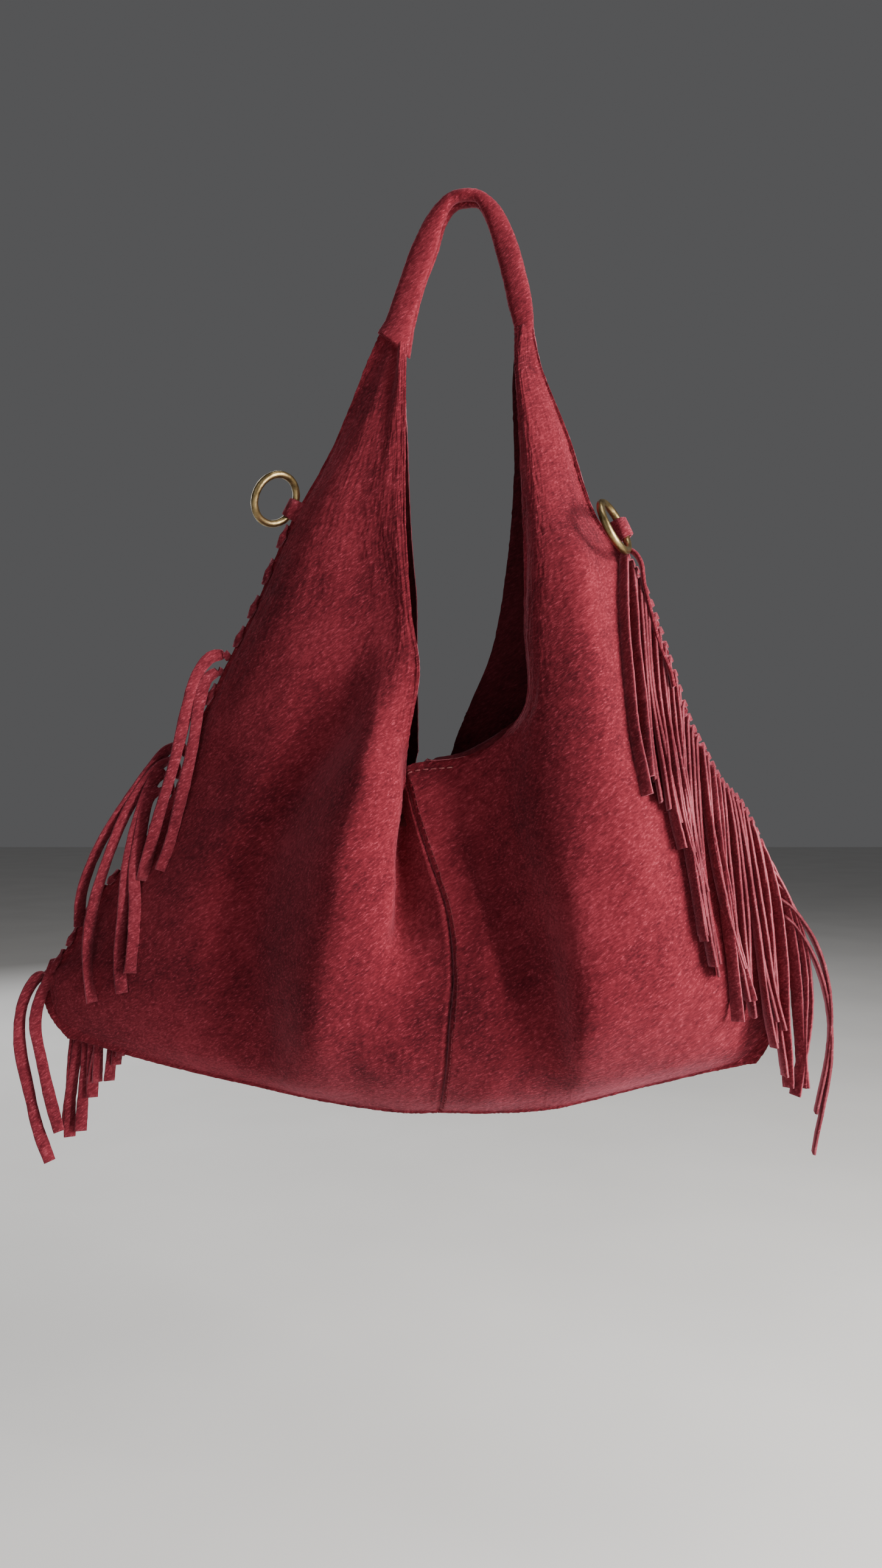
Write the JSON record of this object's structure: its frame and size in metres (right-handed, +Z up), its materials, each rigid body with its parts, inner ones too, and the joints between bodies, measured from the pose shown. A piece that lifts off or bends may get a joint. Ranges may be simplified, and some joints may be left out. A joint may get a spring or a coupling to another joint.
{
  "type": "hobo bag",
  "caption": "Soft burgundy suede hobo bag with horned sides that run into a narrow handle, laced fringed side seams and an antique brass ring on each side.",
  "frame": {"origin": "underside of the crown of the handle, where a hand or hook holds the bag", "axes": "+Z up, +X to the right seen from the front, the front faces -Y and the bag is turned 12 degrees about Z, so its right seam is nearer the viewer"},
  "size_m": [0.3944, 0.1269, 0.4641],
  "materials": {
    "suede": "napped suede",
    "suede_lining_side": "smooth flesh side",
    "suede_thong": "napped suede with paler cut edges",
    "antique_brass": "antique satin"
  },
  "bodies": {
    "handle": {"handle_strap": "suede"},
    "bag": {"front_left_panel": "suede", "front_right_panel": "suede", "back_left_panel": "suede", "back_right_panel": "suede", "left_ring_tab": "suede", "right_ring_tab": "suede", "front_closure_patch": "suede_lining_side", "back_closure_patch": "suede_lining_side", "front_snap_washer": "antique_brass", "back_snap_washer": "antique_brass", "snap_stud": "antique_brass", "snap_socket": "antique_brass"},
    "left_ring": {"left_ring": "antique_brass"},
    "right_ring": {"right_ring": "antique_brass"},
    "left_fringe": {"left_thong_01": "suede_thong", "left_thong_02": "suede_thong", "left_thong_03": "suede_thong", "left_thong_04": "suede_thong", "left_thong_06": "suede_thong", "left_thong_07": "suede_thong", "left_thong_10": "suede_thong", "left_thong_11": "suede_thong", "left_thong_12": "suede_thong", "left_thong_13": "suede_thong", "left_thong_14": "suede_thong", "left_thong_15": "suede_thong", "left_thong_16": "suede_thong"},
    "left_outer_fringe": {"left_thong_05": "suede_thong", "left_thong_08": "suede_thong", "left_thong_09": "suede_thong", "left_thong_17": "suede_thong"},
    "right_fringe": {"right_thong_01": "suede_thong", "right_thong_02": "suede_thong", "right_thong_03": "suede_thong", "right_thong_04": "suede_thong", "right_thong_05": "suede_thong", "right_thong_06": "suede_thong", "right_thong_07": "suede_thong", "right_thong_08": "suede_thong", "right_thong_09": "suede_thong", "right_thong_10": "suede_thong", "right_thong_11": "suede_thong", "right_thong_12": "suede_thong", "right_thong_13": "suede_thong", "right_thong_14": "suede_thong", "right_thong_15": "suede_thong", "right_thong_16": "suede_thong", "right_thong_17": "suede_thong"}
  },
  "joints": [
    {"name": "handle_fold", "type": "hinge", "parent": "handle", "child": "bag", "pos_m": [0, 0, -0.059], "axis": [0.9781, -0.2079, 0], "range_deg": [-90, 90]},
    {"name": "left_ring_swing", "type": "hinge", "parent": "bag", "child": "left_ring", "pos_m": [-0.08219, 0.01747, -0.1375], "axis": [-0.48, 0.102, -0.8713], "range_deg": [-20, 110]},
    {"name": "right_ring_swing", "type": "hinge", "parent": "bag", "child": "right_ring", "pos_m": [0.07009, -0.0149, -0.15378], "axis": [-0.4058, 0.0863, 0.9099], "range_deg": [0, 110]},
    {"name": "left_fringe_swing", "type": "hinge", "parent": "bag", "child": "left_fringe", "pos_m": [-0.15378, 0.03596, -0.25841], "axis": [0.4742, -0.1008, 0.8746], "range_deg": [0, 60]},
    {"name": "left_outer_fringe_swing", "type": "hinge", "parent": "bag", "child": "left_outer_fringe", "pos_m": [-0.16307, 0.03139, -0.27184], "axis": [-0.4742, 0.1008, -0.8746], "range_deg": [0, 60]},
    {"name": "right_fringe_swing", "type": "hinge", "parent": "bag", "child": "right_fringe", "pos_m": [0.11341, -0.02738, -0.25194], "axis": [-0.3664, 0.0779, 0.9272], "range_deg": [0, 60]}
  ]
}
